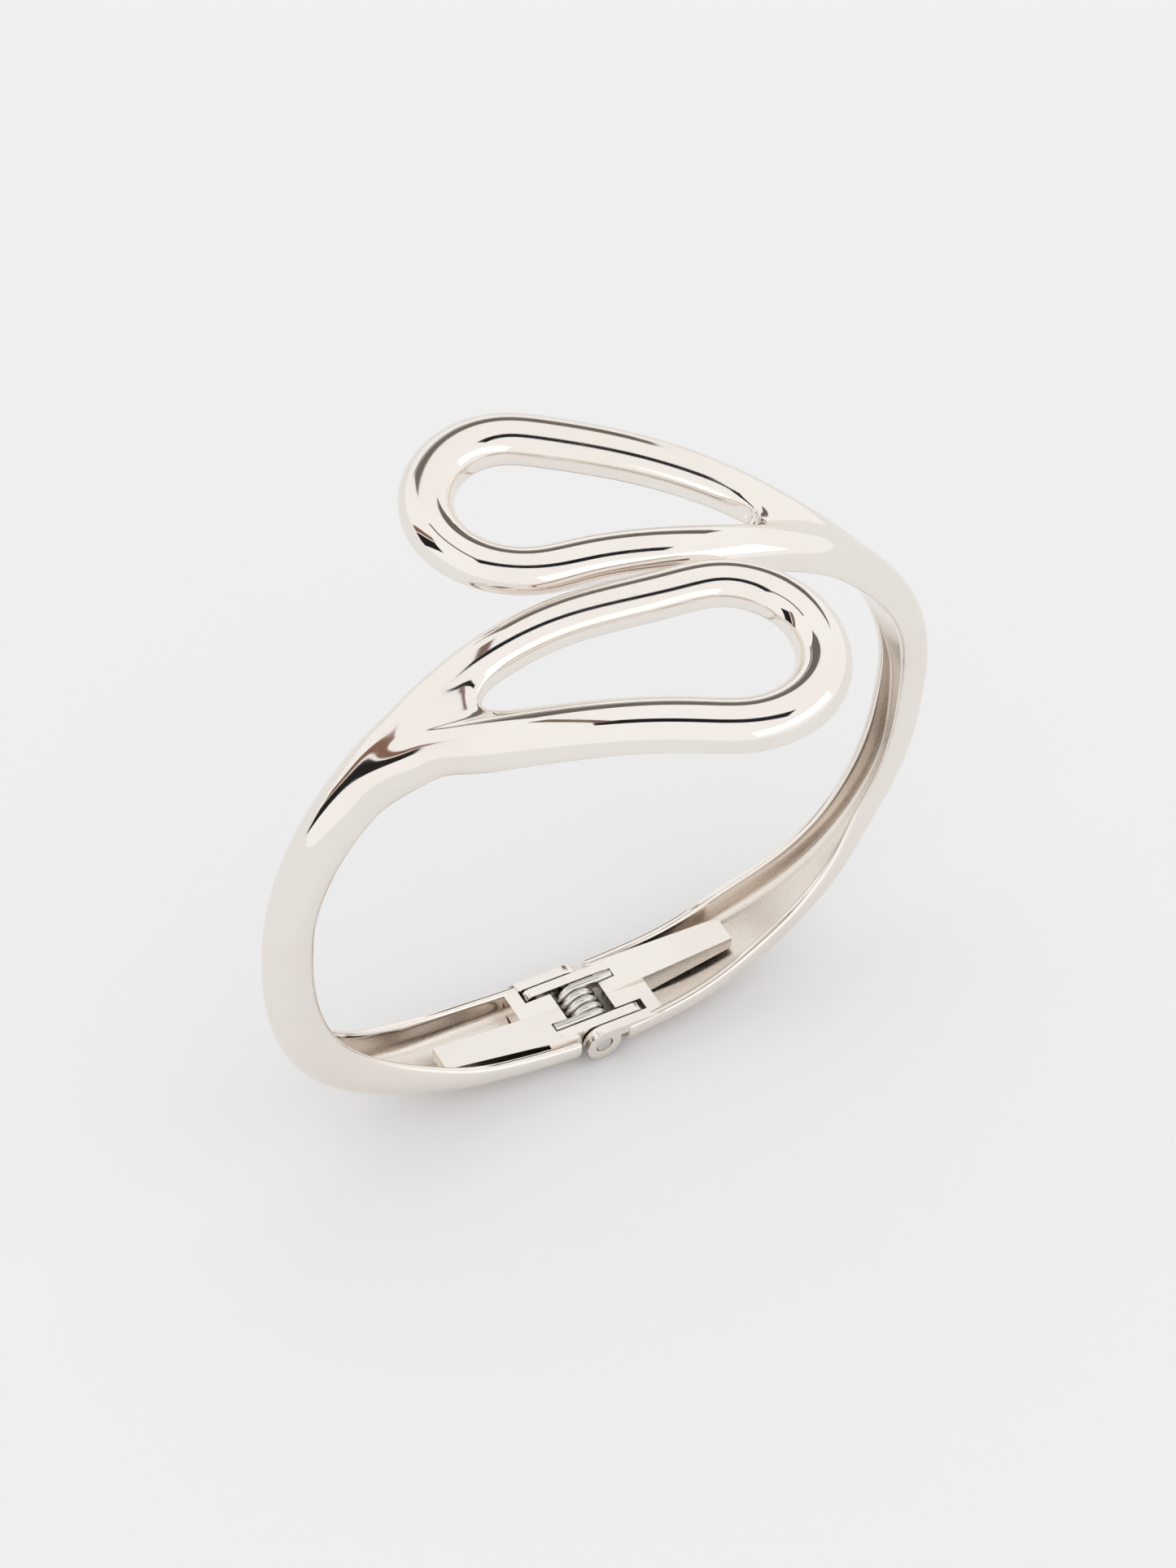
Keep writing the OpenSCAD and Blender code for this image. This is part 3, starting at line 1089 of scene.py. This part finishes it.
    def join_fork(self, bm: bmesh.types.BMesh, arm: list, near: list, far: list) -> None:
        """Joins the arm's last ring to both ends of the loop.

        Args:
            bm: The mesh.
            arm: The arm's last ring.
            near: First ring of the outer strand.
            far: Last ring of the inner strand.
        """
        n, m = self.arm_steps + 3, self.strand_steps + 3
        mid = n // 2
        valley = m - 1 - mid
        outer = [*range(valley, m + mid + 1)]
        inner = [*range(valley, -1, -1), *range(len(near) - 1, m + mid - 1, -1)]
        stitch(bm, arm[mid : n + mid + 1], [near[i] for i in outer])
        stitch(bm, arm[mid::-1] + arm[: n + mid - 1 : -1], [far[i] for i in outer])
        stitch(bm, [near[i] for i in inner], [far[i] for i in inner])
        for a, b in ((mid, valley), (n + mid, m + mid)):
            bmesh.ops.contextual_create(bm, geom=[arm[a], near[b], far[b]])
        crotch = (near[valley].co + far[valley].co) / 2
        soft = [v for v in bm.verts if (v.co - crotch).length < self.crotch_r]
        for _ in range(self.crotch_passes):
            bmesh.ops.smooth_vert(
                bm, verts=soft, factor=0.5, use_axis_x=True, use_axis_y=True, use_axis_z=True
            )

    def mark(self, bm: bmesh.types.BMesh, arm: list, strands: list) -> None:
        """Sharpens the rims and marks the hollow, which no wheel reaches and whose colour is darkened as
        painted shade.

        Args:
            bm: The mesh.
            arm: Rings of the arm.
            strands: Rings of the loop.
        """
        n = self.arm_steps + 3
        rims = {v for ring in arm[:-SOLID_RINGS] for v in (ring[0], ring[n - 1], ring[n], ring[-1])}
        edges = [e for e in bm.edges if e.verts[0] in rims and e.verts[1] in rims]
        crease(bm, edges, RIM_CREASE)
        crease(bm, ring_edges(arm[0]), END_CREASE)
        # Recess mask: painted shade on the hollow's colour, besides its real grain and haze
        layer = bm.verts.layers.float["recess"]
        for ring in arm[:-SOLID_RINGS]:
            for vert in ring[n + 1 : 2 * n - 1]:
                vert[layer] = 1.0


@dataclass
class HingeLeaf:
    """Leaf set into an arm's hollow back, with an inner and an outer knuckle.

    Attributes:
        edge_r: Rounding of its edges.
        edge_steps: Steps of the rounding.
        weld: Distance under which vertices are the same.
        flat: Angle under which neighbouring faces are one, in degrees.
        corner: Angle over which an edge is rounded, in degrees.
    """

    edge_r: float = 0.14
    edge_steps: int = 3
    weld: float = 0.002
    flat: float = 1.0
    corner: float = 25.0

    def build(self, side: Side, frame: dict) -> bpy.types.Object:
        """Makes the leaf from the sized part, with every edge rounded.

        Args:
            side: Which half it is for.
            frame: The loaded frame.

        Returns:
            The object.
        """
        node = f"{side.value}_hinge_leaf"
        bm = bmesh.new()
        bm.from_mesh(frame["nodes"][node].data)
        bm.transform(Matrix.Scale(1 / MM, 4))
        bmesh.ops.remove_doubles(bm, verts=bm.verts, dist=self.weld)
        bmesh.ops.dissolve_limit(
            bm, angle_limit=radians(self.flat), use_dissolve_boundaries=False, verts=bm.verts, edges=bm.edges
        )
        sharp = [e for e in bm.edges if e.is_manifold and e.calc_face_angle(0.0) > radians(self.corner)]
        bmesh.ops.bevel(
            bm,
            geom=sharp,
            offset=self.edge_r,
            offset_type="OFFSET",
            segments=self.edge_steps,
            profile=0.5,
            affect="EDGES",
            clamp_overlap=True,
            material=-1,
        )
        bmesh.ops.triangulate(bm, faces=[f for f in bm.faces if len(f.verts) > 4])
        piece = to_object(bm, f"{node}_plate", Matrix.Identity(4))
        piece.modifiers.new("keep_flats", "WEIGHTED_NORMAL").keep_sharp = True
        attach(piece, side.body)
        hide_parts(node)
        return piece


@dataclass
class HingePin:
    """Pin with lightly domed ends.

    Attributes:
        radius: Its radius.
        half_len: Half of its length.
        axis_z: Height of its axis.
        dome: Rise of its ends.
        dome_steps: Steps of that rise.
        sides: Sides round it.
    """

    radius: float = 0.7
    half_len: float = 3.83
    axis_z: float = 1.95
    dome: float = 0.14
    dome_steps: int = 6
    sides: int = 64

    def build(self) -> bpy.types.Object:
        """Makes the pin by turning its outline about the hinge's axis.

        Returns:
            The object.
        """
        angles = [pi / 2 * i / self.dome_steps for i in range(self.dome_steps + 1)]
        arc = [(self.radius * sin(a), self.half_len - self.dome * (1 - cos(a))) for a in angles]
        outline = arc + [(r, -y) for r, y in reversed(arc)]
        bm = bmesh.new()
        verts = [bm.verts.new((r, y, self.axis_z)) for r, y in outline]
        edges = [bm.edges.new(pair) for pair in zip(verts, verts[1:])]
        bmesh.ops.spin(
            bm,
            geom=verts + edges,
            cent=(0.0, 0.0, self.axis_z),
            axis=(0.0, 1.0, 0.0),
            angle=2 * pi,
            steps=self.sides,
            use_merge=True,
        )
        bmesh.ops.remove_doubles(bm, verts=bm.verts, dist=0.0005)
        piece = to_object(bm, "hinge_pin_rod", Matrix.Identity(4))
        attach(piece, Side.LEFT.body)
        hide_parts("hinge_pin")
        return piece


# Places along a spring leg, as shares of its length, and the wire's size at its tip
LEG_SHARES = (1.0, 0.985, 0.95, 0.6, 0.25)
TIP_TAPER = (0.6, 0.88, 1.0)


@dataclass
class TorsionSpring:
    """Close-wound spring round the pin, with a leg lying in each leaf.

    Attributes:
        wire_r: Radius of the wire.
        coil_r: Radius of the coil, to the wire's middle.
        turns: Number of turns.
        pitch: Advance of a turn.
        axis_z: Height of the coil's axis.
        leg_len: Length of a leg.
        wire_sides: Sides round the wire.
        turn_steps: Steps of a turn.
    """

    wire_r: float = 0.35
    coil_r: float = 1.35
    turns: int = 4
    pitch: float = 0.77
    axis_z: float = 1.95
    leg_len: float = 3.4
    wire_sides: int = 16
    turn_steps: int = 48

    def wire_ring(self, centre: Vector, along: Vector, radius: float) -> list[Vector]:
        """Ring of the wire.

        Args:
            centre: Its middle.
            along: Direction of the wire.
            radius: Its radius.

        Returns:
            The ring's points.
        """
        up = (Vector((0.0, 1.0, 0.0)) - along * along.y).normalized()
        across = along.cross(up)
        turns = [2 * pi * i / self.wire_sides for i in range(self.wire_sides)]
        return [centre + radius * (up * cos(a) + across * sin(a)) for a in turns]

    def build(self) -> bpy.types.Object:
        """Makes the spring.

        Returns:
            The object.
        """
        half = self.turns * self.pitch / 2
        top = self.axis_z + self.coil_r
        steps = self.turns * self.turn_steps
        line = [Vector((-self.leg_len * s, -half, top)) for s in LEG_SHARES]
        for i in range(steps + 1):
            a = 2 * pi * i / self.turn_steps
            y = self.pitch * i / self.turn_steps - half
            line.append(Vector((self.coil_r * sin(a), y, self.axis_z + self.coil_r * cos(a))))
        line += [Vector((self.leg_len * s, half, top)) for s in reversed(LEG_SHARES)]
        radii = [*TIP_TAPER, *[1.0] * (len(line) - 2 * len(TIP_TAPER)), *reversed(TIP_TAPER)]
        bm = bmesh.new()
        rings = []
        for i, centre in enumerate(line):
            along = (line[min(i + 1, len(line) - 1)] - line[max(i - 1, 0)]).normalized()
            rings.append(self.wire_ring(centre, along, self.wire_r * radii[i]))
        made = loft(bm, rings)
        for end in (made[0], made[-1]):
            bmesh.ops.contextual_create(bm, geom=end)
        piece = to_object(bm, "torsion_spring_wire", Matrix.Identity(4))
        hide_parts("torsion_spring")
        start, end = (0.0, -half * MM, self.axis_z * MM), (0.0, half * MM, self.axis_z * MM)
        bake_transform(piece, Side.LEFT.body, Side.RIGHT.body, start=start, end=end)
        return piece


def direction(azimuth: float, elevation: float) -> Vector:
    """A direction from the bangle.

    Args:
        azimuth: Angle from +X towards +Y, in degrees.
        elevation: Angle above the table, in degrees.

    Returns:
        The unit vector.
    """
    az, el = radians(azimuth), radians(elevation)
    return Vector((cos(az) * cos(el), sin(az) * cos(el), sin(el)))


@dataclass(frozen=True)
class Card:
    """A card of the studio that only shows in reflections, as a strip of the sky.

    Attributes:
        name: Its name.
        start: Azimuth and elevation of one end, in degrees.
        end: Azimuth and elevation of the other end.
        width: Its width, in degrees.
        shade: Its colour and brightness.
        away: Its distance from the bangle, in metres.
        steps: Steps along it.
    """

    name: str
    start: tuple[float, float]
    end: tuple[float, float]
    width: float
    shade: tuple[float, float, float]
    away: float = 1.2
    steps: int = 24


CARDS = (
    Card("overhead_rig", (178.0, 62.0), (-46.0, 54.0), 13.0, (0.015, 0.015, 0.02)),
    Card("side_stand", (149.0, 0.0), (162.0, 30.0), 14.0, (0.02, 0.018, 0.018)),
    Card("side_table", (139.0, 4.0), (150.0, 36.0), 6.0, (0.24, 0.13, 0.09), 1.25),
    Card("overhead_arm", (116.0, 50.0), (176.0, 66.0), 4.0, (0.2, 0.13, 0.11)),
    Card("back_shelf", (99.0, 33.0), (38.0, 25.0), 17.0, (0.17, 0.145, 0.13)),
    Card("back_edge", (99.0, 22.0), (44.0, 17.0), 3.0, (0.05, 0.05, 0.05), 1.15),
    Card("front_window", (-100.0, 20.0), (-20.0, 20.0), 22.0, (1.25, 1.25, 1.27)),
)


@dataclass
class Studio:
    """Pale table, soft light and the camera.

    Attributes:
        aim: Where the camera looks, in metres.
        azimuth: The camera's angle round the bangle, in degrees.
        elevation: Its angle above the table, in degrees.
        roll: Its roll, in degrees.
        distance: Its distance, in metres.
        lens: Its focal length on a 36 mm high sensor.
        shift: Sideways and upward shift, as shares of the frame's height.
        surface: Colour of the table.
        table_half: Half of the table's width, in millimetres.
        sky: Brightness of the room.
    """

    aim: Vector = field(default_factory=lambda: Vector((0.0, 0.0, 0.02643)))
    azimuth: float = -33.02
    elevation: float = 48.24
    roll: float = 5.5
    distance: float = 0.5075
    lens: float = 151.29
    shift: tuple[float, float] = (-0.00846, 0.01541)
    surface: tuple[float, float, float] = (0.873, 0.872, 0.876)
    table_half: float = 3000.0
    sky: float = 1.0

    def add_camera(self) -> None:
        """Makes the scene's camera."""
        az, el, roll = radians(self.azimuth), radians(self.elevation), radians(self.roll)
        back = Vector((sin(az) * cos(el), -cos(az) * cos(el), sin(el)))
        up_0 = (Vector((0.0, 0.0, 1.0)) - back * back.z).normalized()
        right_0 = up_0.cross(back)
        right = right_0 * cos(roll) + up_0 * sin(roll)
        up = up_0 * cos(roll) - right_0 * sin(roll)
        data = bpy.data.cameras.new("camera")
        data.sensor_fit = "VERTICAL"
        data.sensor_height = 36.0
        data.lens = self.lens
        data.shift_x, data.shift_y = self.shift
        data.clip_start = 0.01
        camera = bpy.data.objects.new("camera", data)
        turn = Matrix((right, up, back)).transposed().to_4x4()
        camera.matrix_world = Matrix.Translation(self.aim + self.distance * back) @ turn
        bpy.context.scene.collection.objects.link(camera)
        bpy.context.scene.camera = camera

    def add_table(self) -> bpy.types.Object:
        """Makes the pale table top.

        Returns:
            The object.
        """
        bm = bmesh.new()
        bmesh.ops.create_grid(bm, x_segments=1, y_segments=1, size=self.table_half)
        table = to_object(bm, "table_top", Matrix.Identity(4), smooth=False)
        material = bpy.data.materials.new("table_paper")
        material.use_nodes = True
        nodes = Nodes(material.node_tree)
        shader = material.node_tree.nodes["Principled BSDF"]
        place = nodes.add("TexCoord").outputs["Object"]
        fibre = nodes.noise(place, 900.0, 4.0)
        shader.inputs["Base Color"].default_value = (*self.surface, 1.0)
        shader.inputs["Specular IOR Level"].default_value = 0.2
        nodes.feed(shader, "Roughness", nodes.spread(fibre, 0.2, 0.8, 0.75, 0.9))
        table.data.materials.append(material)
        return table

    def add_card(self, card: Card) -> None:
        """Hangs a card that only shows in reflections.

        Args:
            card: The card.
        """
        start, end = (direction(*ends) for ends in (card.start, card.end))
        side = start.cross(end).normalized()
        spread = 2 * tan(radians(card.width / 2))
        turn = start.angle(end)
        bm = bmesh.new()
        bmesh.ops.create_grid(bm, x_segments=card.steps, y_segments=2, size=0.5)
        for vert in bm.verts:
            along = Matrix.Rotation(turn * (vert.co.x + 0.5), 3, side) @ start
            vert.co = (self.aim + card.away * (along + side * vert.co.y * spread)) / MM
        piece = to_object(bm, card.name, Matrix.Identity(4), smooth=False)
        material = bpy.data.materials.new(card.name)
        material.use_nodes = True
        tree = material.node_tree
        tree.nodes.clear()
        nodes = Nodes(tree)
        glow = nodes.add("Emission")
        glow.inputs["Color"].default_value = (*card.shade, 1.0)
        nodes.feed(nodes.add("OutputMaterial"), "Surface", glow.outputs[0])
        piece.data.materials.append(material)
        piece.visible_camera = False
        piece.visible_diffuse = False
        piece.visible_shadow = False

    def add_world(self) -> None:
        """Makes the even light of the room."""
        world = bpy.data.worlds.new("room")
        bpy.context.scene.world = world
        world.use_nodes = True
        background = world.node_tree.nodes["Background"]
        background.inputs["Color"].default_value = (1.0, 1.0, 1.0, 1.0)
        background.inputs["Strength"].default_value = self.sky

    def build(self) -> None:
        """Makes the whole studio."""
        self.add_camera()
        self.add_table()
        self.add_world()
        for card in CARDS:
            self.add_card(card)
        scene = bpy.context.scene
        scene.view_settings.view_transform = "Standard"
        scene.view_settings.look = "None"


def main() -> None:
    """Builds the bangle's looks and its studio."""
    logging.basicConfig(level=logging.INFO, format="%(message)s")
    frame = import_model()
    effects = Effects()
    leaf = HingeLeaf()
    builders: list[tuple[Callable[[], bpy.types.Object], PlateFinish]] = []
    for side in Side:
        builders.append((lambda side=side: ArmCasting().build(side), POLISHED))
        builders.append((lambda side=side: leaf.build(side, frame), HINGE))
    builders.append((HingePin().build, PIN))
    builders.append((TorsionSpring().build, WIRE))
    for build, finish in builders:
        piece = build()
        dress(piece, finish, effects)
        LOG.info("%s: %d faces, %s", piece.name, len(piece.data.polygons), finish.name)
    Studio().build()


if __name__ == "__main__":
    main()
